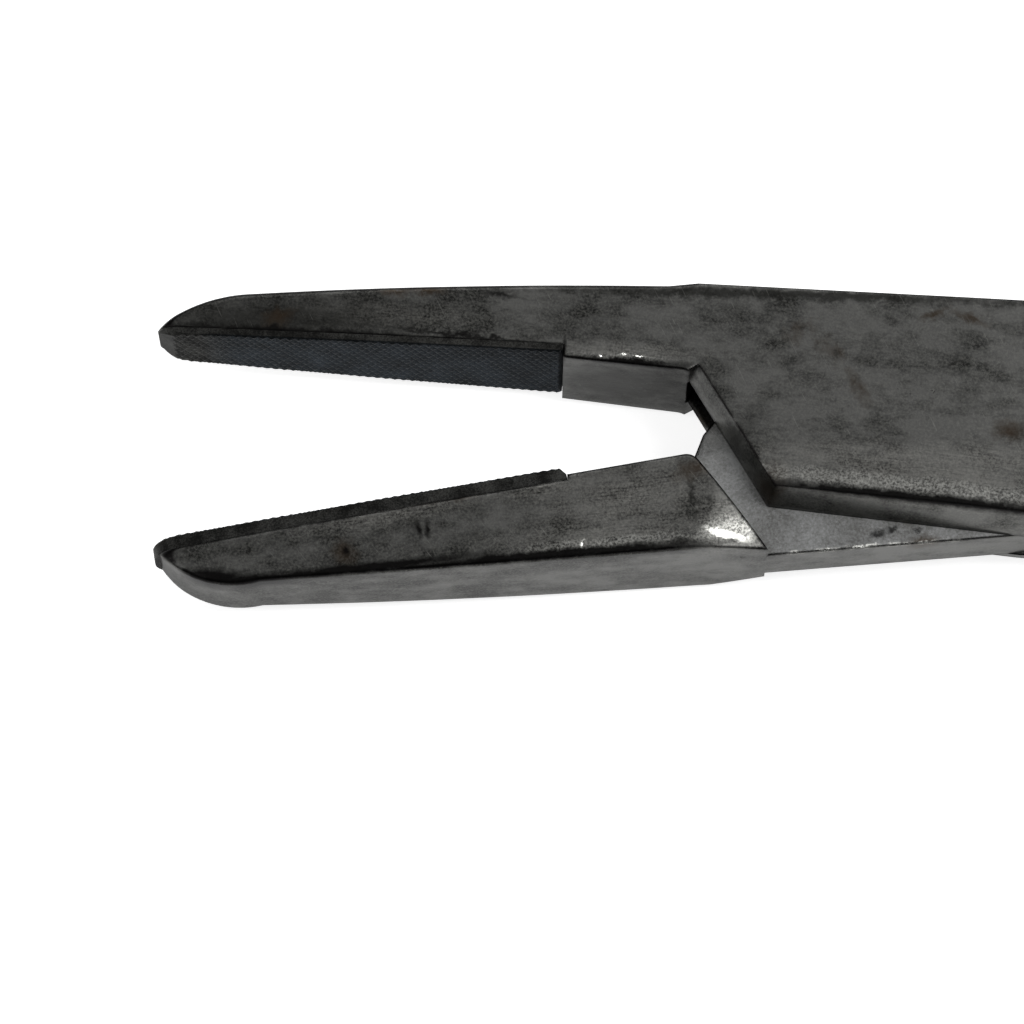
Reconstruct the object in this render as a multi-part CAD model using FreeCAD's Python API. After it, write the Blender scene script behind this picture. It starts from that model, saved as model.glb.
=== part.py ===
import FreeCAD, Part
import math
import os
from FreeCAD import Vector

# Surgical needle holder with a box lock: two crossed halves, one of which passes through
# a slot in the other, turning on one riveted pin. Millimetres, degrees.
# Frame: the pin axis is the Z axis and the flat underside of the box lock is Z = 0.
# The jaws point to -X, the finger rings to +X. At rest the jaws stand open.
# Each half is drawn as if the jaws were closed and is then turned by half of the opening.
# "ahead" is the distance from the pin towards the tips, "up" is towards the box half's jaw.

# Opening at rest, between the two halves
REST_OPENING = 14.12

# Box lock
BOX_THICK = 5.0
PLATE_THICK = 1.5
PLATE_LEAN = 0.45
BOX_UPPER_REACH = 4.03
BOX_LOWER_REACH = 4.47
CORNER_AHEAD = 9.44
CORNER_DEPTH = 4.01
CORNER_ROUND = 0.25
THROAT_AHEAD = 12.35
THROAT_ROUND = 0.7
WALL_FLARE = 3.0
WALL_FLARE_START = 1.0
SHANK_LEAN = 0.001

# Neck of the through half, inside the slot
NECK_HALF_WIDTH = 2.35
NECK_LIFT_CLEAR = 0.03
NECK_SIDE_CLEAR = 0.1
NECK_NOSE_LENGTH = 1.8
NECK_KNEE_BACK = 0.65
NECK_KNEE_RISE = 1.1
NECK_EDGE_DEPTH = 3.75
NECK_ROOTED = 1.0
HUB_UPPER_RADIUS = 4.2
HUB_LOWER_RADIUS = 4.78
SLOT_FACE_ANGLE = 42.0
SLOT_FACE_SPARE = 0.45
SHOULDER_GAP = 0.15
SHOULDER_TURN = 6.3
SHOULDER_ROUND = 0.55
SHOULDER_DEPTH = 3.88

# Pin
PIN_DIAMETER = 2.5
PIN_RUN_CLEAR = 0.04

# Jaws
JAW_REACH = 33.25
JAW_TIP_THICK = 2.5
JAW_MID_THICK = 3.6
JAW_ROOT_THICK = 4.5
JAW_MID_SHARE = 0.75
FULL_THICK_AHEAD = 2.5
TIP_ROUND = 1.15
NOSE_LENGTH = 3.6
NOSE_BULGE_SHARE = 0.35
STEEL_TIP_SHORT = 0.05
MEETING_OFFSET = 0.64
FACE_RELIEF = 0.32
BOX_JAW_TIP_DEPTH = 1.92
BOX_JAW_MID_DEPTH = 2.71
BOX_JAW_ROOT_DEPTH = 3.17
THROUGH_JAW_TIP_DEPTH = 2.42
THROUGH_JAW_MID_DEPTH = 3.42
THROUGH_JAW_ROOT_DEPTH = 4.16
BOX_NOSE_BULGE = 1.24
THROUGH_NOSE_BULGE = 1.85
BOX_HEEL_PROUD = 0.14
THROUGH_HEEL_BELOW = 0.36
HEEL_TAPER = 0.045
JAW_EDGE_ROUND = 0.2

# Carbide inserts, with the steps of the cross-cut along the jaw and across it
INSERT_REAR_AHEAD = 17.75
BOX_INSERT_THICK = 0.36
THROUGH_INSERT_THICK = 0.56
BOX_INSERT_NOSE = 1.8
BOX_INSERT_BEND_SHARE = 0.75
BOX_INSERT_BEND = 0.13
INSERT_EDGE_BROKEN = 0.16
INSERT_END_SLANT = 0.3
INSERT_SEAT_DEPTH = 0.2
THROUGH_INSERT_OVERHANG = 0.15
INSERT_END_GAP = 0.03
CUT_STEP_ALONG = 0.34
CUT_STEP_ACROSS = 0.5
CUT_DEPTH = 0.06
CREST_CLEAR = 0.02

# Ground facet that falls away to the outer rear corner of the through jaw
FACET_FLAT_RADIUS = 2.28
FACET_INSET = 0.7
FACET_CORNER_RADIUS = 5.1
FACET_CORNER_FALL = 0.61
FACET_CORNER_SLOPE = 0.34
FACET_UNDER_RADIUS = 3.4
FACET_UNDER_SLOPE = 0.5

# Shanks
SHANK_START = 15.0
SHANK_LAP = 1.0
SHANK_ROOT_GAP = 0.9
SHANK_END_GAP = 8.0
SHANK_ROOT_WIDTH = 4.0
SHANK_MID_WIDTH = 3.9
SHANK_END_WIDTH = 3.6
SHANK_END_THICK = 4.5
SHANK_ROOT_ROUND = 0.35
SHANK_ROUND = 1.2
SHANK_BOW = 0.4

# Finger rings
RING_BEYOND_RATCHET = 26.0
RING_CENTRE_OUT = 18.6
RING_HOLE_LENGTH = 25.0
RING_HOLE_WIDTH = 20.0
RING_WIRE = 4.5
RING_END_RADIUS = 10.4
RING_JOIN_ROUND = 2.2

# Ratchet
RATCHET_RADIUS = 104.0
ARM_WIDTH = 4.6
ARM_THICK = 1.25
ARM_OVERLAP = 3.0
ARM_TIP_ROUND = 0.8
TOOTH_PITCH = 1.3
TOOTH_HEIGHT = 0.7
TOOTH_COUNT = 3
TOOTH_CREST = 0.15
TOOTH_CLEAR = 0.05

MID = BOX_THICK / 2
RING_CENTRE_ALONG = RATCHET_RADIUS + RING_BEYOND_RATCHET
NECK_FLOOR = PLATE_THICK + NECK_LIFT_CLEAR
NECK_TOP = BOX_THICK - NECK_FLOOR
PAST = 3 * BOX_LOWER_REACH
SMALL = 0.01
Z_AXIS = Vector(0, 0, 1)


def at(ahead, up, z=0.0):
    """A point given by its distance ahead of the pin and its height in the plan."""
    return Vector(-ahead, up, z)


def turned(point, angle):
    """A point turned about the pin axis."""
    a = math.radians(angle)
    x = point.x * math.cos(a) - point.y * math.sin(a)
    y = point.x * math.sin(a) + point.y * math.cos(a)
    return Vector(x, y, point.z)


def opposite(point):
    """The same place on the other side of the pin."""
    return Vector(-point.x, -point.y, point.z)


def lifted(point, z):
    return Vector(point.x, point.y, z)


def crossing(a, b, c, d):
    """Where the line a-b meets the line c-d, in the plan."""
    ux, uy = b.x - a.x, b.y - a.y
    vx, vy = d.x - c.x, d.y - c.y
    t = ((c.x - a.x) * vy - (c.y - a.y) * vx) / (ux * vy - uy * vx)
    return Vector(a.x + t * ux, a.y + t * uy, a.z)


def moved_line(a, b, out):
    """The line a-b moved sideways, to its right when looking from a to b."""
    length = math.hypot(b.x - a.x, b.y - a.y)
    side = Vector((b.y - a.y) / length * out, -(b.x - a.x) / length * out, 0)
    return a + side, b + side


def line(a, b):
    return Part.LineSegment(a, b).toShape()


def arc(a, middle, b):
    return Part.Arc(a, middle, b).toShape()


def rounded(before, corner, after, radius):
    """The two tangent points and the middle point of an arc that rounds a corner."""
    first = (before - corner).normalize()
    second = (after - corner).normalize()
    half = first.getAngle(second) / 2
    reach = radius / math.tan(half)
    middle = (first + second).normalize() * (radius / math.sin(half) - radius)
    return corner + first * reach, corner + middle, corner + second * reach


def prism(points, low, high):
    """An upright block on a polygon of plan points."""
    base = [lifted(p, low) for p in points]
    face = Part.Face(Part.makePolygon(base + [base[0]]))
    return face.extrude(Vector(0, 0, high - low))


def face_height(ahead, sign):
    """Where a jaw's gripping face lies: the faces meet at the tip and part towards the rear."""
    return MEETING_OFFSET + sign * (JAW_REACH - ahead) * math.tan(math.radians(FACE_RELIEF))


def pocket_height(ahead, sign):
    """Where the floor of the insert's pocket lies, which is also the insert's back."""
    thick = BOX_INSERT_THICK if sign > 0 else THROUGH_INSERT_THICK
    return face_height(ahead, sign) + sign * thick


def heel_height(ahead, sign):
    """Where the plain steel face behind the insert lies."""
    step = -BOX_HEEL_PROUD if sign > 0 else -THROUGH_HEEL_BELOW
    slope = -HEEL_TAPER if sign > 0 else 0.0
    return face_height(INSERT_REAR_AHEAD, sign) + step + slope * (INSERT_REAR_AHEAD - ahead)


def plate_diagonal(lean):
    """The slanting front edge of the plates, from the throat outwards, moved out by lean."""
    top = at(THROAT_AHEAD, heel_height(THROAT_AHEAD, 1))
    low = at(CORNER_AHEAD, -CORNER_DEPTH)
    return moved_line(top, low, lean)


def shoulder_ends():
    """Inner and outer end of the through jaw's shoulder, which stands clear of the plates."""
    a, b = plate_diagonal(PLATE_LEAN + SHOULDER_GAP)
    heel_rear = at(INSERT_REAR_AHEAD, heel_height(INSERT_REAR_AHEAD, -1))
    heel_front = at(THROAT_AHEAD, heel_height(THROAT_AHEAD, -1))
    inner = crossing(a, b, heel_rear, heel_front)
    along = inner + turned(b - a, -SHOULDER_TURN)
    outer = crossing(inner, along, at(THROAT_AHEAD, -SHOULDER_DEPTH), at(0, -SHOULDER_DEPTH))
    return inner, outer


def neck_nose():
    """Front end of the neck: from the heel of the through jaw round to the neck's inner side."""
    heel = shoulder_ends()[0]
    knee = heel + at(-NECK_KNEE_BACK, NECK_KNEE_RISE)
    inner = Vector(heel.x + NECK_NOSE_LENGTH, NECK_HALF_WIDTH, 0)
    return heel, knee, inner


def hub_touch(radius):
    """How far along the neck's inner side the round hub begins."""
    return math.sqrt(radius ** 2 - NECK_HALF_WIDTH ** 2)


def side_edge(side, reach):
    """Upper or lower edge of the side view, with the rounded tip: thin ahead, full at the box."""
    stations = [(JAW_MID_SHARE * JAW_REACH, JAW_MID_THICK), (THROAT_AHEAD, JAW_ROOT_THICK)]
    stations += [(FULL_THICK_AHEAD, BOX_THICK)]
    points = [Vector(-a, -reach, MID + side * t / 2) for a, t in stations]
    front = JAW_REACH + THROUGH_INSERT_OVERHANG
    corner = Vector(-front, -reach, MID + side * JAW_TIP_THICK / 2)
    first, middle, last = rounded(Vector(-front, -reach, MID), corner, points[0], TIP_ROUND)
    curve = Part.BSplineCurve()
    curve.interpolate([last] + points)
    end = Vector(RING_CENTRE_ALONG, -reach, MID + side * BOX_THICK / 2)
    return [arc(first, middle, last), curve.toShape(), line(points[-1], end)], first, end


def side_profile():
    """Slab with the side view's outline, wider than the plan."""
    upper, upper_tip, upper_end = side_edge(1, PAST)
    lower, lower_tip, lower_end = side_edge(-1, PAST)
    edges = [line(lower_tip, upper_tip)] + upper + [line(upper_end, lower_end)] + lower[::-1]
    face = Part.Face(Part.Wire(edges))
    return face.extrude(Vector(0, 2 * PAST, 0))


def box_corners():
    """Corners of the box's widest plan, half way up, on the sides where its walls lean."""
    diag = plate_diagonal(PLATE_LEAN)
    low_mid = at(0, -BOX_LOWER_REACH - PLATE_LEAN)
    low_front = at(CORNER_AHEAD, -CORNER_DEPTH)
    edge = moved_line(low_front, at(0, -BOX_LOWER_REACH), PLATE_LEAN)
    rear_diag = [opposite(p) for p in plate_diagonal(PLATE_LEAN)]
    root = at(THROAT_AHEAD + WALL_FLARE_START, MEETING_OFFSET + BOX_JAW_ROOT_DEPTH)
    upper, upper_rear = moved_line(root, at(0, BOX_UPPER_REACH), -PLATE_LEAN)
    heel_rear = at(INSERT_REAR_AHEAD, heel_height(INSERT_REAR_AHEAD, 1))
    heel_front = at(THROAT_AHEAD, heel_height(THROAT_AHEAD, 1))
    throat = crossing(heel_rear, heel_front, diag[0], diag[1])
    corner = crossing(diag[0], diag[1], edge[0], edge[1])
    shank_inner = Vector(SHANK_START, -SHANK_ROOT_GAP / 2, 0)
    shank_outer = shank_inner - Vector(0, SHANK_ROOT_WIDTH, 0)
    rear_corner = crossing(upper, upper_rear, rear_diag[0], rear_diag[1])
    level = Vector(0, shank_inner.y, 0)
    rear_throat = crossing(shank_inner, level, rear_diag[0], rear_diag[1])
    flare_end = upper + (upper_rear - upper).normalize() * WALL_FLARE
    return throat, corner, low_mid, shank_outer, shank_inner, rear_throat, rear_corner, flare_end


def box_outline():
    """Widest plan of the box half, from its tip to the start of the shank."""
    tip_ahead = JAW_REACH - STEEL_TIP_SHORT
    pocket_ahead = INSERT_REAR_AHEAD - INSERT_END_GAP
    tip = at(tip_ahead, pocket_height(tip_ahead, 1))
    nose_mid = at(JAW_REACH - NOSE_BULGE_SHARE * NOSE_LENGTH, MEETING_OFFSET + BOX_NOSE_BULGE)
    nose_end = at(JAW_REACH - NOSE_LENGTH, MEETING_OFFSET + BOX_JAW_TIP_DEPTH)
    jaw_mid_ahead = (JAW_REACH - NOSE_LENGTH + THROAT_AHEAD) / 2
    jaw_mid = at(jaw_mid_ahead, MEETING_OFFSET + BOX_JAW_MID_DEPTH)
    flare_start = at(THROAT_AHEAD + WALL_FLARE_START, MEETING_OFFSET + BOX_JAW_ROOT_DEPTH)
    heel_rear = at(pocket_ahead, heel_height(INSERT_REAR_AHEAD, 1))
    pocket_end = at(pocket_ahead, pocket_height(pocket_ahead, 1))
    throat, corner, low_mid, shank_outer, shank_inner, rear_throat, rear_corner, flare_end = box_corners()
    t1, tm, t2 = rounded(heel_rear, throat, corner, THROAT_ROUND)
    c1, cm, c2 = rounded(throat, corner, low_mid, CORNER_ROUND)
    r1, rm, r2 = rounded(shank_inner, rear_throat, rear_corner, THROAT_ROUND)
    k1, km, k2 = rounded(rear_throat, rear_corner, flare_end, CORNER_ROUND)
    edges = [arc(tip, nose_mid, nose_end), arc(nose_end, jaw_mid, flare_start)]
    edges += [line(flare_start, flare_end), line(flare_end, k2), arc(k2, km, k1), line(k1, r2)]
    edges += [arc(r2, rm, r1), line(r1, shank_inner), line(shank_inner, shank_outer)]
    edges += [line(shank_outer, low_mid), line(low_mid, c2), arc(c2, cm, c1), line(c1, t2)]
    edges += [arc(t2, tm, t1), line(t1, heel_rear), line(heel_rear, pocket_end)]
    edges += [line(pocket_end, tip)]
    return Part.Wire(edges)


def lean_cut(a, b, lean_a, side):
    """What is ground off one wall so that it leans in towards a broad face (side 1 or -1).
    The lean grows from lean_a at the wall's start to that of the plates at its end."""
    along = Vector(b.x - a.x, b.y - a.y, 0).normalize()
    inward = Vector(along.y, -along.x, 0)
    start = MID + side * (MID - PLATE_THICK)
    rise = side * PLATE_THICK
    ends = []
    for point, lean in ((a, lean_a), (b, PLATE_LEAN)):
        foot = lifted(point, start)
        top = foot + inward * 2 * lean + Vector(0, 0, 2 * rise)
        out = foot - inward * 2 * BOX_THICK
        corners = [foot, top, out + Vector(0, 0, 2 * rise), out]
        ends.append(Part.makePolygon(corners + [foot]))
    return Part.makeLoft(ends, True, True)


def box_blank():
    """The box half's forging from tip to shank root, its walls leaning in above and below."""
    throat, corner, low_mid, shank_outer, shank_inner, rear_throat, rear_corner, flare_end = box_corners()
    blank = Part.Face(box_outline()).extrude(Vector(0, 0, BOX_THICK)).common(side_profile())
    body = round_jaw(blank)
    overrun = flare_end + (flare_end - rear_corner)
    past_corner = corner + (corner - throat)
    before_corner = corner + (corner - low_mid)
    past_rear = rear_corner + (rear_corner - rear_throat)
    walls = [(past_corner, throat), (low_mid, before_corner), (overrun, rear_corner)]
    walls += [(past_rear, rear_throat)]
    for side in (1, -1):
        for a, b in walls:
            body = body.cut(lean_cut(a, b, PLATE_LEAN, side))
        body = body.cut(lean_cut(shank_outer, low_mid, SHANK_LEAN, side))
    return body


def round_jaw(body):
    """The jaw with its long outer edges rounded, above and below, from the box to the tip."""
    edges = [e for e in body.Edges if is_jaw_edge(e)]
    return body.makeFillet(JAW_EDGE_ROUND, edges)


def is_jaw_edge(edge):
    """True for the edges between a jaw's broad sides and its outer side."""
    ends = [v.Point for v in edge.Vertexes]
    if len(ends) < 2 or max(p.x for p in ends) > -THROAT_AHEAD - WALL_FLARE_START / 2:
        return False
    middle = edge.valueAt((edge.FirstParameter + edge.LastParameter) / 2)
    off_middle = abs(middle.z - MID) > JAW_TIP_THICK / 4
    level = off_middle and abs(ends[0].z - ends[1].z) < JAW_TIP_THICK / 2
    return level and abs(middle.y - MEETING_OFFSET) > 2 * THROUGH_INSERT_THICK


def slot_half():
    """One half of the slot, from the pin forwards: open below, closed towards the jaw."""
    heel, knee, inner = neck_nose()
    low = Vector(heel.x, -PAST, 0)
    a1, a2 = moved_line(low, heel, -NECK_SIDE_CLEAR)
    b1, b2 = moved_line(heel, knee, -NECK_SIDE_CLEAR)
    c1, c2 = moved_line(knee, inner, -NECK_SIDE_CLEAR)
    d1 = at(-inner.x, NECK_HALF_WIDTH + NECK_SIDE_CLEAR)
    d2 = at(0, NECK_HALF_WIDTH + NECK_SIDE_CLEAR)
    points = [a1, crossing(a1, a2, b1, b2), crossing(b1, b2, c1, c2), crossing(c1, c2, d1, d2)]
    points += [d2, Vector(0, -PAST, 0)]
    return prism(points, PLATE_THICK, BOX_THICK - PLATE_THICK)


def slot_faces(hub_radius):
    """The slanting end of one slot wall, clear of the hub as it turns."""
    reach = hub_radius + SLOT_FACE_SPARE
    points = [Vector(-reach, -PAST, 0), Vector(-reach, PAST, 0), Vector(0, PAST, 0), Vector(0, -PAST, 0)]
    points = [turned(p, -SLOT_FACE_ANGLE) for p in points]
    return prism(points, PLATE_THICK, BOX_THICK - PLATE_THICK)


def slot():
    """The slot through the box: both halves and the slanting ends of its walls."""
    front = slot_half()
    rear = slot_half()
    rear.rotate(Vector(0, 0, 0), Z_AXIS, 180)
    upper_end = slot_faces(HUB_UPPER_RADIUS)
    lower_end = slot_faces(HUB_LOWER_RADIUS)
    lower_end.rotate(Vector(0, 0, 0), Z_AXIS, 180)
    return front.fuse([rear, upper_end, lower_end])


def through_outline():
    """Plan of the through half's jaw, from its tip back to the shoulder."""
    tip_ahead = JAW_REACH - STEEL_TIP_SHORT
    pocket_ahead = INSERT_REAR_AHEAD - INSERT_END_GAP
    tip = at(tip_ahead, pocket_height(tip_ahead, -1))
    nose_mid = at(JAW_REACH - NOSE_BULGE_SHARE * NOSE_LENGTH, MEETING_OFFSET - THROUGH_NOSE_BULGE)
    nose_end = at(JAW_REACH - NOSE_LENGTH, MEETING_OFFSET - THROUGH_JAW_TIP_DEPTH)
    jaw_mid_ahead = (JAW_REACH - NOSE_LENGTH + THROAT_AHEAD) / 2
    jaw_mid = at(jaw_mid_ahead, MEETING_OFFSET - THROUGH_JAW_MID_DEPTH)
    flare_start = at(THROAT_AHEAD + WALL_FLARE_START, MEETING_OFFSET - THROUGH_JAW_ROOT_DEPTH)
    inner, outer = shoulder_ends()
    heel_rear = at(pocket_ahead, heel_height(INSERT_REAR_AHEAD, -1))
    pocket_end = at(pocket_ahead, pocket_height(pocket_ahead, -1))
    s1, sm, s2 = rounded(outer, inner, heel_rear, SHOULDER_ROUND)
    edges = [arc(tip, nose_mid, nose_end), arc(nose_end, jaw_mid, flare_start)]
    edges += [line(flare_start, outer), line(outer, s1), arc(s1, sm, s2), line(s2, heel_rear)]
    edges += [line(heel_rear, pocket_end), line(pocket_end, tip)]
    return Part.Wire(edges)


def facet_profile(place):
    """Half section of the space under the ground facets. Outwards it is flat, then falls away
    ever more steeply. Underneath it falls away in two straight steps, down to the neck."""
    half = JAW_ROOT_THICK / 2
    span = 3 * FACET_FLAT_RADIUS
    beyond = span - FACET_CORNER_RADIUS
    corner = half - FACET_CORNER_FALL
    edge = corner - beyond * (FACET_CORNER_SLOPE + beyond * FACET_CORNER_SLOPE / FACET_CORNER_RADIUS)
    slope = FACET_CORNER_FALL / (FACET_CORNER_RADIUS - FACET_FLAT_RADIUS)
    under = half - slope * (FACET_UNDER_RADIUS - FACET_FLAT_RADIUS)
    under_edge = under - FACET_UNDER_SLOPE * (span - FACET_UNDER_RADIUS)
    rim = place(FACET_FLAT_RADIUS, half)
    edges = [line(place(0, half), rim), arc(rim, place(FACET_CORNER_RADIUS, corner), place(span, edge))]
    below = [(span, edge), (span, -under_edge), (FACET_UNDER_RADIUS, -under)]
    below += [(FACET_FLAT_RADIUS, -half), (0, -half), (0, half)]
    edges += [line(place(*p), place(*q)) for p, q in zip(below, below[1:])]
    return Part.Face(Part.Wire(edges))


def facet_limit():
    """The space that the ground facets leave: turned round the shoulder's corner, and
    drawn out along the jaw. Its flat part reaches across to the jaw's gripping side."""
    centre = at(THROAT_AHEAD + FACET_FLAT_RADIUS, -FACET_INSET)
    turned_part = facet_profile(lambda r, z: centre + Vector(r, 0, MID + z)).revolve(centre, Z_AXIS, 360)
    along = facet_profile(lambda r, z: centre + Vector(0, -r, MID + z)).extrude(Vector(-JAW_REACH, 0, 0))
    flat = prism([centre, centre + Vector(0, PAST, 0), centre + Vector(-JAW_REACH, PAST, 0),
                  centre + Vector(-JAW_REACH, 0, 0)], MID - JAW_ROOT_THICK / 2, MID + JAW_ROOT_THICK / 2)
    return turned_part.fuse([along, flat])


def through_jaw():
    """The through half's jaw with its taper and the ground facets at the shoulder."""
    blank = Part.Face(through_outline()).extrude(Vector(0, 0, BOX_THICK))
    return round_jaw(blank.common(side_profile())).common(facet_limit())


def neck():
    """The flat neck that passes through the slot, with the round hub about the pin."""
    heel, knee, inner = neck_nose()
    rear_heel, rear_knee, rear_inner = opposite(heel), opposite(knee), opposite(inner)
    outer = shoulder_ends()[1]
    inside = at(THROAT_AHEAD + 2 * NECK_ROOTED, -NECK_HALF_WIDTH / 2)
    edge_front = Vector(outer.x - NECK_ROOTED, -NECK_EDGE_DEPTH, 0)
    low_end = at(0, -HUB_LOWER_RADIUS)
    high_end = at(0, HUB_UPPER_RADIUS)
    low_touch = Vector(hub_touch(HUB_LOWER_RADIUS), -NECK_HALF_WIDTH, 0)
    high_touch = at(hub_touch(HUB_UPPER_RADIUS), NECK_HALF_WIDTH)
    diagonal = math.sqrt(0.5)
    low_arc = Vector(HUB_LOWER_RADIUS * diagonal, -HUB_LOWER_RADIUS * diagonal, 0)
    high_arc = Vector(-HUB_UPPER_RADIUS * diagonal, HUB_UPPER_RADIUS * diagonal, 0)
    edges = [line(inside, edge_front), line(edge_front, low_end), arc(low_end, low_arc, low_touch)]
    edges += [line(low_touch, rear_inner), line(rear_inner, rear_knee), line(rear_knee, rear_heel)]
    edges += [line(rear_heel, opposite(inside)), line(opposite(inside), opposite(edge_front))]
    edges += [line(opposite(edge_front), high_end), arc(high_end, high_arc, high_touch)]
    edges += [line(high_touch, inner), line(inner, knee), line(knee, heel), line(heel, inside)]
    plate = Part.Face(Part.Wire(edges)).extrude(Vector(0, 0, NECK_TOP - NECK_FLOOR))
    plate.translate(Vector(0, 0, NECK_FLOOR))
    return plate


def shank_section(along, out, width, thick, corner):
    """A rounded rectangle across the shank, standing at one place along it."""
    y1, y2 = out - width / 2, out + width / 2
    z1, z2 = MID - thick / 2, MID + thick / 2
    corners = [(y1, z1), (y2, z1), (y2, z2), (y1, z2)]
    points = [Vector(along, y, z) for y, z in corners]
    cuts = [rounded(points[i - 1], points[i], points[(i + 1) % 4], corner) for i in range(4)]
    edges = []
    for i in range(4):
        edges.append(arc(*cuts[i]))
        edges.append(line(cuts[i][2], cuts[(i + 1) % 4][0]))
    return Part.Wire(edges)


def shank_inner(along):
    """Distance of the shank's inner side from the centre line: a gentle outward bow."""
    s = (along - SHANK_START) / (RATCHET_RADIUS - SHANK_START)
    rise = (SHANK_END_GAP - SHANK_ROOT_GAP) / 2
    return SHANK_ROOT_GAP / 2 + rise * (s + SHANK_BOW * s * (s - 1))


def shank(side):
    """The tapering shank from the box to the inner side of the ring."""
    mid_along = (SHANK_START + RATCHET_RADIUS) / 2
    stations = [(SHANK_START - SHANK_LAP, SHANK_ROOT_WIDTH, BOX_THICK, SHANK_ROOT_ROUND)]
    stations += [(mid_along, SHANK_MID_WIDTH, (BOX_THICK + SHANK_END_THICK) / 2, SHANK_ROUND)]
    stations += [(RATCHET_RADIUS, SHANK_END_WIDTH, SHANK_END_THICK, SHANK_ROUND)]
    sections = []
    for along, width, thick, corner in stations:
        out = side * (shank_inner(along) + width / 2)
        sections.append(shank_section(along, out, width, thick, corner))
    ring_side = side * (RING_CENTRE_OUT - (RING_HOLE_WIDTH + RING_WIRE) / 2)
    sections.append(shank_section(RING_CENTRE_ALONG, ring_side, RING_WIRE, RING_WIRE, RING_JOIN_ROUND))
    return Part.makeLoft(sections, True, False)


def ring_arc(centre, radius, start, sweep):
    """Part of the ring: its round section turned about an upright axis, angles in degrees."""
    place = centre + turned(Vector(radius, 0, 0), start)
    normal = turned(Vector(0, 1, 0), start)
    section = Part.Face(Part.Wire(Part.makeCircle(RING_WIRE / 2, place, normal)))
    return section.revolve(centre, Z_AXIS, sweep)


def ring(side):
    """Oval finger ring of four tangent arcs with a round section."""
    half_long = (RING_HOLE_LENGTH + RING_WIRE) / 2
    half_wide = (RING_HOLE_WIDTH + RING_WIRE) / 2
    end_offset = half_long - RING_END_RADIUS
    side_offset = (end_offset ** 2 - (half_wide - RING_END_RADIUS) ** 2)
    side_offset /= 2 * (half_wide - RING_END_RADIUS)
    side_radius = half_wide + side_offset
    turn = math.degrees(math.atan2(side_offset, end_offset))
    middle = Vector(RING_CENTRE_ALONG, side * RING_CENTRE_OUT, MID)
    ends = [ring_arc(middle + Vector(end_offset, 0, 0), RING_END_RADIUS, -turn, 2 * turn)]
    ends += [ring_arc(middle - Vector(end_offset, 0, 0), RING_END_RADIUS, 180 - turn, 2 * turn)]
    top = middle - Vector(0, side_offset, 0)
    low = middle + Vector(0, side_offset, 0)
    sides = [ring_arc(top, side_radius, turn, 180 - 2 * turn)]
    sides += [ring_arc(low, side_radius, 180 + turn, 180 - 2 * turn)]
    return ends[0].fuse([ends[1], sides[0], sides[1]])


def ratchet_arm():
    """The box half's arm: it reaches across above the middle plane, its teeth pointing down.
    The teeth slope towards the tip and stand steep towards their own shank."""
    root = -(SHANK_END_GAP + SHANK_END_WIDTH) / 2
    tip = ARM_OVERLAP / 2
    valley = MID + TOOTH_CLEAR + TOOTH_HEIGHT
    crest = MID + TOOTH_CLEAR
    profile = [(root, valley + ARM_THICK), (tip, valley + ARM_THICK), (tip, valley)]
    for i in range(TOOTH_COUNT):
        foot = tip - (i + 1) * TOOTH_PITCH
        profile += [(foot + TOOTH_CREST, crest), (foot, crest), (foot, valley)]
    profile += [(root, valley)]
    near = RATCHET_RADIUS - ARM_WIDTH
    points = [Vector(near, y, z) for y, z in profile]
    bar = Part.Face(Part.makePolygon(points + [points[0]])).extrude(Vector(2 * ARM_WIDTH, 0, 0))
    outer = Part.makeCylinder(RATCHET_RADIUS + ARM_WIDTH / 2, BOX_THICK)
    inner = Part.makeCylinder(RATCHET_RADIUS - ARM_WIDTH / 2, BOX_THICK)
    arm = bar.common(outer).cut(inner)
    corners = [e for e in arm.Edges if is_tip_corner(e, tip)]
    return arm.makeFillet(ARM_TIP_ROUND, corners)


def is_tip_corner(edge, tip):
    """True for the two upright edges at the tip of a ratchet arm."""
    ends = [v.Point for v in edge.Vertexes]
    if len(ends) < 2:
        return False
    upright = abs(ends[0].z - ends[1].z) > ARM_THICK / 2
    return upright and all(abs(p.y - tip) < SMALL for p in ends)


def root_block():
    """Full-thickness start of the through half's shank, behind the rear shoulder."""
    inner, outer = shoulder_ends()
    inner_y = SHANK_ROOT_GAP / 2
    rear_outer = opposite(outer)
    rear_inner = crossing(opposite(inner), rear_outer, Vector(0, inner_y, 0), Vector(1, inner_y, 0))
    points = [rear_inner, Vector(SHANK_START, inner_y, 0)]
    points += [Vector(SHANK_START, inner_y + SHANK_ROOT_WIDTH, 0), rear_outer]
    return prism(points, 0, BOX_THICK)


def pin_hole(radius):
    return Part.makeCylinder(radius, 3 * BOX_THICK, Vector(0, 0, -BOX_THICK))


def box_half():
    """The half whose box takes the other one through it."""
    body = box_blank().cut(slot()).cut(pin_hole(PIN_DIAMETER / 2))
    return body.fuse([shank(-1), ring(-1), ratchet_arm()])


def through_half():
    """The half that passes through the box."""
    arm = ratchet_arm()
    arm.rotate(Vector(0, 0, MID), Vector(1, 0, 0), 180)
    body = through_jaw().fuse([neck(), root_block()])
    body = body.cut(pin_hole(PIN_DIAMETER / 2 + PIN_RUN_CLEAR))
    return body.fuse([shank(1), ring(1), arm])


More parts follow.
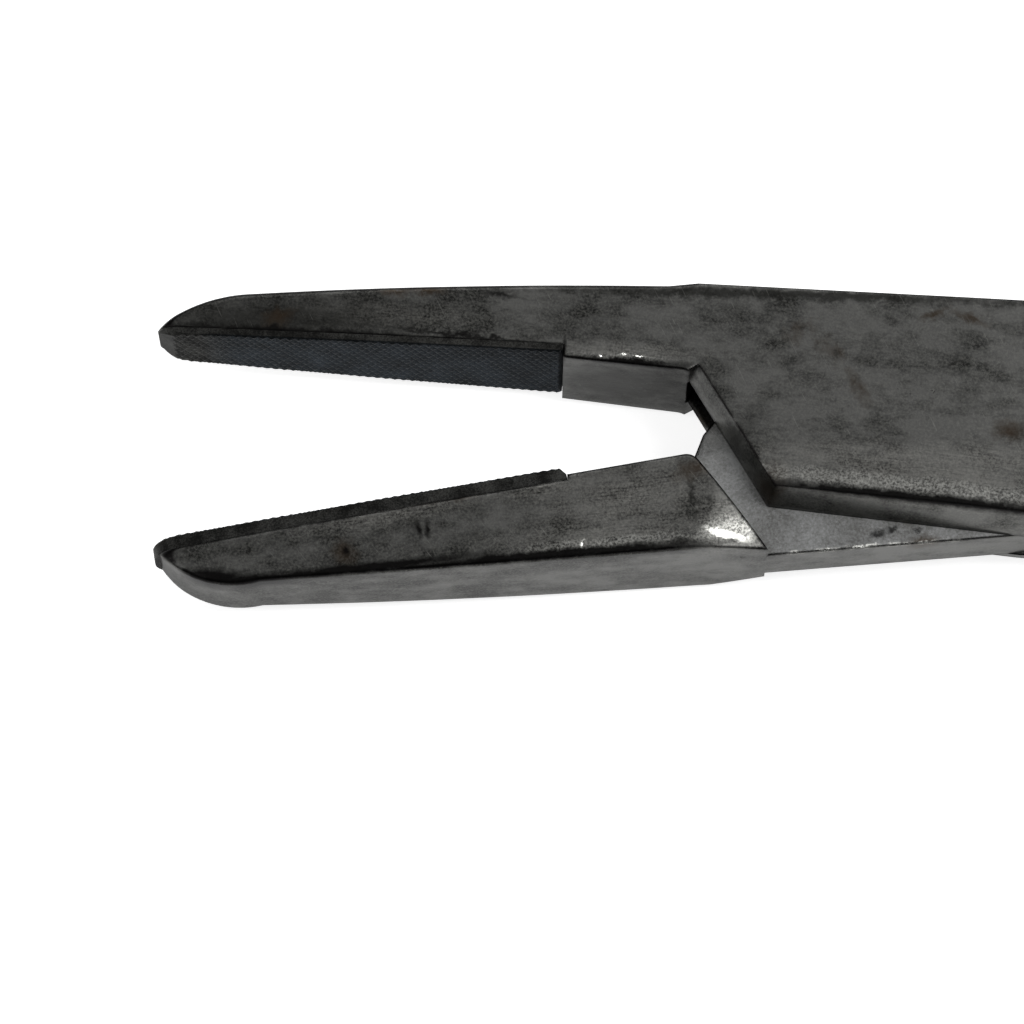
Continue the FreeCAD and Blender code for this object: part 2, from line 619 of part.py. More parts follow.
def cross_cut(length, width):
    """What two crossing sets of fine grooves leave standing off, as one block over the teeth.
    The grooves meet in a lattice, and a four-sided tooth rises to its crest in each diamond."""
    columns = 2 * math.ceil(length / CUT_STEP_ALONG)
    rows = 2 * math.ceil(width / CUT_STEP_ACROSS)

    def node(i, j):
        depth = 0 if (i + j) % 2 else CUT_DEPTH
        return Vector(i * CUT_STEP_ALONG / 2, -depth, j * CUT_STEP_ACROSS / 2)

    faces = []
    for i in range(columns + 1):
        for j in range(1 - i % 2, rows + 1, 2):
            around = [(i + 1, j), (i, j + 1), (i - 1, j), (i, j - 1)]
            for k in range(4):
                a, b = around[k], around[(k + 1) % 4]
                if min(a + b) >= 0 and max(a[0], b[0]) <= columns and max(a[1], b[1]) <= rows:
                    faces.append([node(*a), node(*b), node(i, j)])
    rims = [[node(i, 0) for i in range(columns + 1)], [node(i, rows) for i in range(columns + 1)]]
    rims += [[node(0, j) for j in range(rows + 1)], [node(columns, j) for j in range(rows + 1)]]
    height = Vector(0, 10 * CUT_DEPTH, 0)
    for rim in rims:
        faces.append(rim + [rim[-1] + height, rim[0] + height])
    faces.append([rims[0][0] + height, rims[0][-1] + height, rims[1][-1] + height, rims[1][0] + height])
    shell = Part.makeShell([Part.Face(Part.makePolygon(f + [f[0]])) for f in faces])
    shell.sewShape()
    return Part.Solid(shell)


def insert_blank(sign):
    """Plan of an insert before its teeth are cut, standing a little proud of its face."""
    spare = 2 * CREST_CLEAR
    front_ahead = JAW_REACH + (-STEEL_TIP_SHORT if sign > 0 else THROUGH_INSERT_OVERHANG)
    back_rear = at(INSERT_REAR_AHEAD, pocket_height(INSERT_REAR_AHEAD, sign))
    back_front = at(front_ahead, pocket_height(front_ahead, sign))
    foot = back_rear - Vector(0, sign * INSERT_SEAT_DEPTH, 0)
    slant_ahead = INSERT_REAR_AHEAD + INSERT_END_SLANT
    face_rear = at(slant_ahead, face_height(slant_ahead, sign) - sign * spare)
    face_ahead = JAW_REACH - BOX_INSERT_NOSE if sign > 0 else front_ahead
    face_front = at(face_ahead, face_height(face_ahead, sign) - sign * spare)
    edges = [line(back_front, back_rear), line(back_rear, foot), line(foot, face_rear)]
    edges.append(line(face_rear, face_front))
    if sign > 0:
        bend = face_front + (back_front - face_front) * BOX_INSERT_BEND_SHARE
        edges.append(arc(face_front, bend - Vector(0, BOX_INSERT_BEND, 0), back_front))
    else:
        edges.append(line(face_front, back_front))
    blank = Part.Face(Part.Wire(edges)).extrude(Vector(0, 0, BOX_THICK)).common(side_profile())
    grip = [e for e in blank.Edges if is_grip_edge(e, sign)]
    return blank.makeChamfer(INSERT_EDGE_BROKEN, grip)


def is_grip_edge(edge, sign):
    """True for the edges that run along an insert's gripping face and round its nose."""
    ends = [v.Point for v in edge.Vertexes]
    if len(ends) < 2 or abs(ends[0].x - ends[1].x) < 2 * INSERT_END_SLANT:
        return False
    return any(abs(p.y - face_height(-p.x, sign)) < 3 * CREST_CLEAR for p in ends)


def insert(sign):
    """A carbide insert: side 1 sits in the box half's jaw, side -1 in the other."""
    start_ahead = JAW_REACH + 2 * THROUGH_INSERT_OVERHANG
    teeth = cross_cut(start_ahead - INSERT_REAR_AHEAD, JAW_ROOT_THICK)
    teeth.translate(at(start_ahead, -CREST_CLEAR, MID - JAW_ROOT_THICK / 2))
    if sign > 0:
        teeth.rotate(Vector(0, 0, MID), Vector(1, 0, 0), 180)
    teeth.rotate(at(JAW_REACH, 0), Z_AXIS, sign * FACE_RELIEF)
    teeth.translate(Vector(0, face_height(JAW_REACH, sign), 0))
    return insert_blank(sign).cut(teeth)


def write(name, shape, angle):
    """Turn a piece from the closed to the resting place and write it."""
    placed = shape.copy()
    placed.rotate(Vector(0, 0, 0), Z_AXIS, angle)
    placed.exportStep("parts/" + name + ".step")
    print(name, placed.isValid(), len(placed.Solids), round(placed.Volume, 2))


def main():
    os.makedirs("parts", exist_ok=True)
    pin = Part.makeCylinder(PIN_DIAMETER / 2, BOX_THICK)
    write("box_half", box_half(), -REST_OPENING / 2)
    write("through_half", through_half(), REST_OPENING / 2)
    write("joint_pin", pin, -REST_OPENING / 2)
    write("box_half_insert", insert(1), -REST_OPENING / 2)
    write("through_half_insert", insert(-1), REST_OPENING / 2)


main()
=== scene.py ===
# %% [markdown]
# A surgical needle holder. Two steel halves cross in a box lock: one passes through a slot in
# the other, and both turn on one riveted pin. The jaws are faced with carbide inserts. The
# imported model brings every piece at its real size, so this file gives it its surfaces, its
# light and its camera. Lengths are metres, and the pin is the Z axis.

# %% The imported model
import math

import bpy
import numpy as np
from mathutils import Matrix, Vector

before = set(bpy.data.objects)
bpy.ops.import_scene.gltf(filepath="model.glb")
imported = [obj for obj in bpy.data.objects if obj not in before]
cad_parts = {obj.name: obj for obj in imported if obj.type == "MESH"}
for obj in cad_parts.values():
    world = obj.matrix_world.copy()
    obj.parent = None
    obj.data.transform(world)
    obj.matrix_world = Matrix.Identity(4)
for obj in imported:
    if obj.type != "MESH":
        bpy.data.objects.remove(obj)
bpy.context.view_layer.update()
MM = 0.001
print("nodes:", sorted(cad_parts))

# %% [markdown]
# The camera stands a little to the jaws' side of the pin and looks down at about twenty
# degrees off the vertical, so that the outer side of the near jaw shows below its top. A long
# lens keeps the two jaws nearly parallel in perspective. Its place could be found by eye. It
# was worked out instead from the corners of the box lock, which lie in two known planes.

# %% Camera
CAMERA_PLACE = Vector((-22.465, -61.265, 159.551)) * MM
CAMERA_TILT = math.radians(20.5)
CAMERA_TURN = math.radians(-2.7)
LENS_MM = 156.6


def look(place, tilt, turn):
    """World matrix of a camera that leans back by tilt from straight down and is turned about Z."""
    turned = Matrix.Rotation(turn, 4, "Z") @ Matrix.Rotation(tilt, 4, "X")
    return Matrix.Translation(place) @ turned


camera = bpy.data.objects.new("camera", bpy.data.cameras.new("camera"))
bpy.context.scene.collection.objects.link(camera)
camera.matrix_world = look(CAMERA_PLACE, CAMERA_TILT, CAMERA_TURN)
camera.data.lens = LENS_MM
camera.data.sensor_width = 36
camera.data.clip_start = 0.01
camera.data.clip_end = 10
bpy.context.scene.camera = camera
bpy.context.scene.view_settings.view_transform = "Standard"
print("camera at", [round(v, 4) for v in camera.location])

# %% [markdown]
# Colours are written as the hex values that a paint program shows. The renderer counts in
# linear light, so one function turns them. Materials are graphs of nodes, and one more
# function adds a node with its settings and its links, which keeps each graph readable.


# %% Colour and nodes
def linear(hex_colour):
    """sRGB hex to linear: the low end is a straight line, the rest a power of 2.4."""
    parts = [int(hex_colour[i:i + 2], 16) / 255 for i in (0, 2, 4)]
    return tuple(c / 12.92 if c < 0.04045 else ((c + 0.055) / 1.055) ** 2.4 for c in parts) + (1.0,)


def node(tree, kind, inputs=None, **settings):
    """Adds a node. An input is named or numbered and takes a value or another node's output."""
    made = tree.nodes.new("ShaderNode" + kind)
    for name, value in settings.items():
        setattr(made, name, value)
    for place, value in (inputs or {}).items():
        if isinstance(value, bpy.types.NodeSocket):
            tree.links.new(value, made.inputs[place])
        else:
            made.inputs[place].default_value = value
    return made


def new_material(name):
    """A material with a principled shader on its output."""
    made = bpy.data.materials.new(name)
    made.use_nodes = True
    made.node_tree.nodes.clear()
    shader = node(made.node_tree, "BsdfPrincipled")
    node(made.node_tree, "OutputMaterial", {"Surface": shader.outputs[0]})
    return made, made.node_tree, shader


print("steel grey in linear light:", [round(c, 3) for c in linear("6E6E6B")])

# %% [markdown]
# Both halves are drawn in the frame with the jaws open, so each lies half of the opening off
# the centre line. The marks of use lie along and across each half. The pattern's coordinates
# are therefore turned back by that angle and counted in millimetres: X runs from the tips to
# the rings, and a mark can be placed by its distance from the pin.

# %% Coordinates that follow each half
HALF_OPENING = math.radians(7.06)


def half_coordinates(tree, turn):
    """Object coordinates in millimetres, turned about the pin."""
    place = node(tree, "TexCoord").outputs["Object"]
    turned = {"Vector": place, "Rotation": (0, 0, turn), "Scale": (1 / MM,) * 3}
    return node(tree, "Mapping", turned).outputs[0]


def stretched(tree, mm, along, across, angle=0.0):
    """Coordinates for a pattern with one size along the half and another across it."""
    size = (1 / along, 1 / across, 1 / across)
    turned = node(tree, "Mapping", {"Vector": mm, "Rotation": (0, 0, math.radians(angle))})
    return node(tree, "Mapping", {"Vector": turned.outputs[0], "Scale": size}).outputs[0]


# %% [markdown]
# Stains and pits sit where the instrument was gripped and wiped. They could be painted on an
# image, but that would tie them to one picture size. Here each is an ellipsoid in the half's own
# millimetres, and its outline is pushed about by noise so that it looks grown and not drawn.
# An ellipsoid whose centre lies above the face touches it only faintly, which makes a weak mark.
# Masks run from nought to one. They are joined by taking the strongest at each point, narrowed
# by gates, and used to lay one colour over another.

# %% Places on a half
OUTLINE_WOBBLE = {"Scale": 2.2, "Detail": 5.0, "Roughness": 0.65}


def strongest(tree, masks):
    """The strongest of several masks at each point."""
    total = 0.0
    for mask in masks:
        total = node(tree, "Math", {0: total, 1: mask}, operation="MAXIMUM").outputs[0]
    return total


def gated(tree, mask, gates):
    """A mask narrowed by gates (value, shut, open): nought where the value is at its shut
    bound or beyond, untouched where it is at its open bound, a straight line between them."""
    for value, shut, opened in gates:
        gate = {0: value, "From Min": shut, "From Max": opened, "To Max": mask}
        mask = node(tree, "MapRange", gate).outputs[0]
    return mask


def coated(tree, colour, coats):
    """A colour with coats laid over it in turn, each a mask and the colour that it brings."""
    for mask, coat in coats:
        colour = node(tree, "Mix", {0: mask, 6: colour, 7: coat}, data_type="RGBA").outputs[2]
    return colour


def marks(tree, mm, places, ragged, softness, strength):
    """Mask of ellipsoids (ahead, up, z, half length, half width, half height, degrees). It is
    the strength inside and nought outside. Softness is the share of the radius that it fades
    over, and ragged how many millimetres its outline strays."""
    wobble = node(tree, "TexNoise", {"Vector": mm, **OUTLINE_WOBBLE}).outputs["Color"]
    centred = node(tree, "VectorMath", {0: wobble, 1: (0.5,) * 3}, operation="SUBTRACT")
    push = node(tree, "VectorMath", {0: centred.outputs[0], "Scale": ragged}, operation="SCALE")
    moved = node(tree, "VectorMath", {0: mm, 1: push.outputs[0]}, operation="ADD").outputs[0]
    masks = []
    for ahead, up, z, length, width, height, angle in places:
        here = node(tree, "VectorMath", {0: moved, 1: (-ahead, up, z)}, operation="SUBTRACT")
        turned = {"Vector": here.outputs[0], "Rotation": (0, 0, -math.radians(angle))}
        level = node(tree, "Mapping", turned)
        scaled = {"Vector": level.outputs[0], "Scale": (1 / length, 1 / width, 1 / height)}
        unit = node(tree, "Mapping", scaled)
        radius = node(tree, "VectorMath", {0: unit.outputs[0]}, operation="LENGTH").outputs["Value"]
        masks.append(gated(tree, strength, [(radius, 1 + softness, 1 - softness)]))
    return strongest(tree, masks)


# %% [markdown]
# A bevel node looks at the surface around each point and returns the normal that a small
# round would have. It takes the knife sharpness off every edge, as the grinding belt does.
# How level that normal lies tells where a broad face rolls over its edge, on both sides of the
# holder: along that line a black line of painted shade stands in for the dark that the edge mirrors.

# %% Edges
EDGE_ROUND_MM = 0.24
EDGE_SAMPLES = 8
PIN_CLEAR_MM = 1.6
PIN_FADE_MM = 0.1


def edges(tree, mm):
    """The rounded normal, and how level it lies: one on a broad face, nought on a side. The pin
    is riveted and ground flush, so no round lies within PIN_CLEAR_MM of its axis."""
    rounded = node(tree, "Bevel", {"Radius": EDGE_ROUND_MM * MM}, samples=EDGE_SAMPLES).outputs[0]
    plain = node(tree, "NewGeometry").outputs["Normal"]
    flat = node(tree, "VectorMath", {0: mm, 1: (1, 1, 0)}, operation="MULTIPLY")
    reach = node(tree, "VectorMath", {0: flat.outputs[0]}, operation="LENGTH").outputs["Value"]
    away = gated(tree, 1.0, [(reach, PIN_CLEAR_MM - PIN_FADE_MM, PIN_CLEAR_MM)])
    normal = node(tree, "Mix", {0: away, 4: plain, 5: rounded}, data_type="VECTOR").outputs[1]
    height = node(tree, "SeparateXYZ", {0: normal}).outputs[2]
    return normal, node(tree, "Math", {0: height}, operation="ABSOLUTE").outputs[0]


# %% [markdown]
# The halves are drop-forged martensitic stainless steel, hardened, then ground on a belt and
# brushed to a dull grey so that they don't glare under a theatre lamp. A flat grey metal with
# one roughness would look new. Years of washing leave a mottled oxide, so the grey comes from
# noises of real sizes: clouds of 2 mm, streaks along the half, grain of 0.09 mm, the belt's
# lines and a few cross scratches. The metal keeps its default index of refraction.

# %% Patterns in the steel
PATTERNS = {
    "cloud": (2.0, 2.0, 0, 6.0, 0.62),
    "streak": (1.6, 0.7, 2, 6.0, 0.65),
    "grain": (0.09, 0.09, 0, 2.0, 0.7),
    "belt": (1.6, 0.07, 4, 3.0, 0.6),
    "scratch": (1.1, 0.05, 62, 1.0, 0.5),
}
PORES = {"Scale": 3.1, "Detail": 3.0, "Roughness": 0.75}


def patterns(tree, mm):
    """One noise for each row of PATTERNS: millimetres along and across the half, degrees that
    it is turned by, detail and roughness."""
    made = {}
    for name, (along, across, angle, detail, roughness) in PATTERNS.items():
        place = stretched(tree, mm, along, across, angle)
        noise = {"Vector": place, "Scale": 1.0, "Detail": detail, "Roughness": roughness}
        made[name] = node(tree, "TexNoise", noise).outputs["Fac"]
    return made


print(len(PATTERNS), "patterns, the finest", min(row[1] for row in PATTERNS.values()), "mm across")

# %% [markdown]
# The grey is darker towards the tips and lighter on the box, so one level that rises along the
# half is added to the clouds and streaks before they choose between two greys. The inner part of
# the box lock was never polished: it is matt and pale. A pair of levels says where a pattern
# starts to show and where it shows in full.

# %% Greys of the steel
STEEL_DARK = "2E2E2D"
STEEL_LIGHT = "727270"
STEEL_SPECK = "8A8A85"
MATT_DARK = "6F6F6D"
MATT_LIGHT = "A3A4A4"
JAW_MM = 33.0
TIP_SHADE = -0.1
BOX_SHADE = 0.14
OXIDE_LEVELS = (0.84, 1.2)
SPECK_LEVELS = (0.4, 0.75)
SPECK_STRENGTH = 0.55
PATCH_LEVELS = (0.75, 1.3)


def oxide(tree, pattern, behind):
    """The grey of the ground faces: clouds and streaks, shaded along the jaw, with specks."""
    shaded = {0: behind, "From Min": -JAW_MM, "From Max": 0.0, "To Min": TIP_SHADE, "To Max": BOX_SHADE}
    level = node(tree, "MapRange", shaded).outputs[0]
    for name in ("cloud", "streak"):
        level = node(tree, "Math", {0: level, 1: pattern[name]}, operation="ADD").outputs[0]
    light = gated(tree, 1.0, [(level, *OXIDE_LEVELS)])
    specks = gated(tree, SPECK_STRENGTH, [(pattern["grain"], *SPECK_LEVELS)])
    coats = [(light, linear(STEEL_LIGHT)), (specks, linear(STEEL_SPECK))]
    return coated(tree, linear(STEEL_DARK), coats)


def unpolished(tree, pattern):
    """The pale grey of faces that were never polished."""
    patches = node(tree, "Math", {0: pattern["cloud"], 1: pattern["grain"]}, operation="ADD").outputs[0]
    light = gated(tree, 1.0, [(patches, *PATCH_LEVELS)])
    return coated(tree, linear(MATT_DARK), [(light, linear(MATT_LIGHT))])


print("oxide from", STEEL_DARK, "to", STEEL_LIGHT)

# %% [markdown]
# Marks come in ten kinds: marks of use, and painted light and shade. Each kind has a row that says
# how many millimetres its outline strays, how softly it fades and how strong it is, and places on
# each half. Matt areas show the unpolished grey. Haze is a pale bloom between the grinding lines,
# and in places painted sheen. Shade is painted shade, and in places a broad dark blotch. Stains
# are brown. Grime is black: dark spots, and painted shade in the seams beside the inserts. Rims
# are black lines of painted shade where two faces meet. Pits are eaten into the face. Scuffs are
# speckled and bright: worn specks with painted glints. Polished spots are rubbed bare, painted
# near white as painted highlights, and tilted so that they catch the lamp. Other areas keep the
# painted shade of the edge lines off their edges.

# %% Marks of use, painted light and painted shade
MARK_KINDS = {
    "matt": (0.6, 0.2, 1.0),
    "haze_and_sheen": (1.2, 0.8, 0.8),
    "shade": (0.9, 0.5, 0.75),
    "stains": (0.9, 0.7, 0.8),
    "grime_and_seam_shade": (0.8, 0.5, 0.85),
    "rims": (0.35, 0.45, 0.97),
    "pits": (0.4, 0.6, 0.95),
    "scuffs_and_glints": (0.6, 0.7, 0.75),
    "polish_and_highlight": (0.5, 0.5, 1.0),
    "no_edge_shade": (0.3, 0.2, 1.0),
}
# Near white for worn spots and for painted highlights.
STEEL_WORN_AND_HIGHLIGHT = "E6E6E0"
# Pale grey for haze and for painted sheen.
STEEL_HAZE_AND_SHEEN = "A09F9A"
STEEL_SHADE = "2B2B29"
STAIN_BROWN = "453A2F"
# Black for dirt and for painted shade.
GRIME_AND_SHADE_BLACK = "171616"
EDGE_SHADE_END_MM = 8.0
POLISH_AND_HIGHLIGHT_LEVELS = (0.3, 0.5)
POLISH_AND_HIGHLIGHT_STRENGTH = 0.9
SCUFF_LEVELS = (0.4, 0.72)
SCRATCH_LEVELS = (0.7, 0.76)
SCRATCH_BRIGHT = 0.1
PORE_LEVELS = (0.7, 0.76)
EDGE_FROM_TOP = (0.975, 0.92)
EDGE_FROM_SIDE = (0.4, 0.6)
EDGE_GAPS = (0.85, 0.5)


def rubbed_and_highlit(tree, pattern, placed):
    """Masks of what is bright: polished spots with painted highlights, and these with scuffs, painted
    glints and scratches.
    """
    polish_and_highlight = gated(tree, placed["polish_and_highlight"], [(pattern["grain"], *POLISH_AND_HIGHLIGHT_LEVELS)])
    scuffed_and_glinting = gated(tree, placed["scuffs_and_glints"], [(pattern["grain"], *SCUFF_LEVELS)])
    scratched = gated(tree, SCRATCH_BRIGHT, [(pattern["scratch"], *SCRATCH_LEVELS)])
    dabs = gated(tree, POLISH_AND_HIGHLIGHT_STRENGTH, [(polish_and_highlight, 0.0, 1.0)])
    return polish_and_highlight, strongest(tree, [dabs, scuffed_and_glinting, scratched])


def dirtied_and_shaded(tree, mm, pattern, placed, lean, behind):
    """Masks of the pits, and of all the black: pits and dirt, and the painted shade of the seams, the
    rims and the lines along the edges.
    """
    noise = node(tree, "TexNoise", {"Vector": mm, **PORES}).outputs["Fac"]
    pores = gated(tree, 1.0, [(noise, *PORE_LEVELS)])
    pitted = strongest(tree, [placed["pits"], pores])
    # Black lines of painted shade along the rolled edges, standing in for the dark that they mirror.
    rolled = [(lean, *EDGE_FROM_TOP), (lean, *EDGE_FROM_SIDE), (behind, EDGE_SHADE_END_MM, 0.0)]
    patchy = [(placed["no_edge_shade"], 1.0, 0.0), (pattern["streak"], *EDGE_GAPS)]
    edge_shade_lines = gated(tree, 1.0, rolled + patchy)
    return pitted, strongest(tree, [pitted, placed["grime_and_seam_shade"], placed["rims"], edge_shade_lines])


print(len(MARK_KINDS), "kinds of mark")

# %% [markdown]
# One material joins the greys and the marks. The colour is laid coat over coat, oldest first, and the
# painted highlights and the black painted shade go on last.
# Roughness follows the grain, falls where the steel is rubbed and rises where it is matt. A
# slight bump gives the grinding its relief, and the pits their depth.

# %% Ground stainless steel
ROUGHNESS_FINE = 0.26
ROUGHNESS_COARSE = 0.4
ROUGHNESS_RUBBED = 0.24
ROUGHNESS_MATT = 0.55
RELIEF_MM = 0.01
RELIEF_STRENGTH = 0.35
DENT_NORMAL = (0.33, -0.2, 0.92)
DENT_STRENGTH = 0.7
LEVEL_FACE = (0.85, 0.95)
HAZE_LEVELS = (0.7, 1.3)


def ground_steel(name, turn, places):
    """Ground steel with its marks of use, painted highlights and painted shade at the given places."""
    made, tree, shader = new_material(name)
    mm = half_coordinates(tree, turn)
    behind = node(tree, "SeparateXYZ", {0: mm}).outputs[0]
    pattern = patterns(tree, mm)
    rounded, lean = edges(tree, mm)
    placed = {kind: marks(tree, mm, places[kind], *how) for kind, how in MARK_KINDS.items()}

    fine = node(tree, "Math", {0: pattern["grain"], 1: pattern["belt"]}, operation="ADD").outputs[0]
    matt = gated(tree, placed["matt"], [(lean, *LEVEL_FACE)])
    # Haze, and painted sheen in places.
    haze_and_sheen = gated(tree, placed["haze_and_sheen"], [(fine, *HAZE_LEVELS)])
    polish_and_highlight, worn_and_highlight = rubbed_and_highlit(tree, pattern, placed)
    pitted, dirt_and_shade = dirtied_and_shaded(tree, mm, pattern, placed, lean, behind)
    colour = coated(tree, oxide(tree, pattern, behind), [
        (matt, unpolished(tree, pattern)),
        (haze_and_sheen, linear(STEEL_HAZE_AND_SHEEN)),
        (placed["shade"], linear(STEEL_SHADE)),
        (placed["stains"], linear(STAIN_BROWN)),
        # Worn spots and scratches, with painted highlights and glints.
        (worn_and_highlight, linear(STEEL_WORN_AND_HIGHLIGHT)),
        # Dirt, with black painted shade on the seams, the rims and the rolled edges.
        (dirt_and_shade, linear(GRIME_AND_SHADE_BLACK)),
    ])
    tree.links.new(colour, shader.inputs["Base Color"])

    grained = {0: pattern["grain"], "To Min": ROUGHNESS_FINE, "To Max": ROUGHNESS_COARSE}
    rough = node(tree, "MapRange", grained).outputs[0]
    for mask, value in ((worn_and_highlight, ROUGHNESS_RUBBED), (matt, ROUGHNESS_MATT)):
        rough = node(tree, "Mix", {0: mask, 2: rough, 3: value}, data_type="FLOAT").outputs[0]
    tree.links.new(rough, shader.inputs["Roughness"])

    low = node(tree, "Math", {0: fine, 1: pitted}, operation="SUBTRACT").outputs[0]
    relief = {"Strength": RELIEF_STRENGTH, "Distance": RELIEF_MM * MM, "Height": low, "Normal": rounded}
    bump = node(tree, "Bump", relief).outputs[0]
    dents = gated(tree, DENT_STRENGTH, [(polish_and_highlight, 0.0, 1.0)])
    tilted = node(tree, "Mix", {0: dents, 4: bump, 5: DENT_NORMAL}, data_type="VECTOR").outputs[1]
    tree.links.new(tilted, shader.inputs["Normal"])
    shader.inputs["Metallic"].default_value = 1.0
    print(name, "has", len(tree.nodes), "nodes")
    return made


# %% [markdown]
# Where the marks are. Each row is millimetres ahead of the pin, up towards the box half's jaw
# and above the underside, then the mark's half length, half width and half height, and how
# many degrees it is turned. A row with its height just above a face leaves a weak mark.

# %% The two halves
BOX_PLACES = {
    "matt": [],
    "haze_and_sheen": [
        # The first two rows, along the front edge of the box, are painted sheen.
        (5.0, -3.5, 5.0, 6.0, 0.75, 0.4, 2),
        (4.5, -2.7, 5.0, 6.0, 0.5, 0.4, 3),
        (15.6, 0.95, 4.6, 2.2, 0.25, 0.4, 0),
        (24.5, 1.9, 4.2, 2.4, 0.35, 0.5, 0),
    ],
    "shade": [
        # Painted shade on the diagonal wall, the heel face, the jaw and along the far edge; the last
        # two rows are faint dark blotches.
        (11.2, -2.4, 3.4, 2.9, 0.5, 1.3, 57),
        (15.4, 0.5, 2.4, 2.8, 0.3, 1.9, 0),
        (27.8, 1.6, 4.0, 5.0, 0.7, 0.6, 4),
        (8.0, 3.7, 4.8, 14.0, 0.2, 0.4, 2),
        (8.3, 1.8, 5.3, 1.6, 1.0, 0.3, 60),
        (10.8, 2.6, 5.32, 0.8, 0.5, 0.3, 20),
    ],
    "stains": [
        (24.3, 2.9, 4.3, 0.5, 0.16, 0.6, 0),
        (23.0, 2.95, 4.3, 0.5, 0.14, 0.6, 0),
        (28.6, 1.6, 4.2, 0.5, 0.3, 0.6, 20),
        (9.8, -3.95, 4.3, 0.7, 0.5, 1.0, 50),
        (0.9, -1.3, 5.0, 0.5, 0.3, 0.4, 0),
        (12.4, -0.3, 1.2, 0.4, 0.3, 0.8, 0),
        (8.9, 2.2, 5.15, 0.6, 0.4, 0.3, 30),
        (7.7, 1.5, 5.15, 0.7, 0.34, 0.3, 130),
        (6.6, 0.1, 5.15, 0.8, 0.26, 0.3, 125),
        (3.9, 3.2, 5.0, 0.5, 0.14, 0.3, 30),
        (2.5, 3.1, 5.0, 0.55, 0.14, 0.3, -20),
    ],
    "grime_and_seam_shade": [
        # The first two rows are painted shade in the seam beside the insert.
        (28.4, 1.08, 4.1, 4.6, 0.14, 0.5, 0),
        (21.0, 1.17, 4.3, 3.4, 0.1, 0.5, -4),
        (20.3, 3.0, 4.6, 0.6, 0.12, 0.4, -3),
    ],
    "rims": [
        # Painted shade: black lines along the front edge of the box and at the heel.
        (4.6, -4.22, 4.95, 8.0, 0.25, 0.25, -2.6),
        (15.3, 0.52, 4.6, 3.2, 0.18, 0.2, 0),
        (17.72, 0.9, 4.4, 0.08, 0.5, 0.5, 0),
    ],
    "pits": [
        (8.8, 2.3, 5.15, 0.14, 0.12, 0.3, 60),
        (7.5, 1.4, 5.2, 0.2, 0.1, 0.3, 120),
    ],
    "scuffs_and_glints": [
        # Worn specks with painted glints along the front edge of the box and the heel.
        (4.0, -3.76, 5.0, 6.5, 0.27, 0.5, -2.6),
        (15.5, 0.68, 4.62, 1.5, 0.13, 0.2, 0),
    ],
    "polish_and_highlight": [
        # Nicks on the heel's top edge, painted near white as painted highlights.
        (14.9, 0.78, 4.65, 0.25, 0.04, 0.12, 0),
        (15.5, 0.8, 4.65, 0.14, 0.04, 0.12, 0),
        (16.3, 0.76, 4.65, 0.1, 0.03, 0.12, 0),
    ],
    "no_edge_shade": [],
}
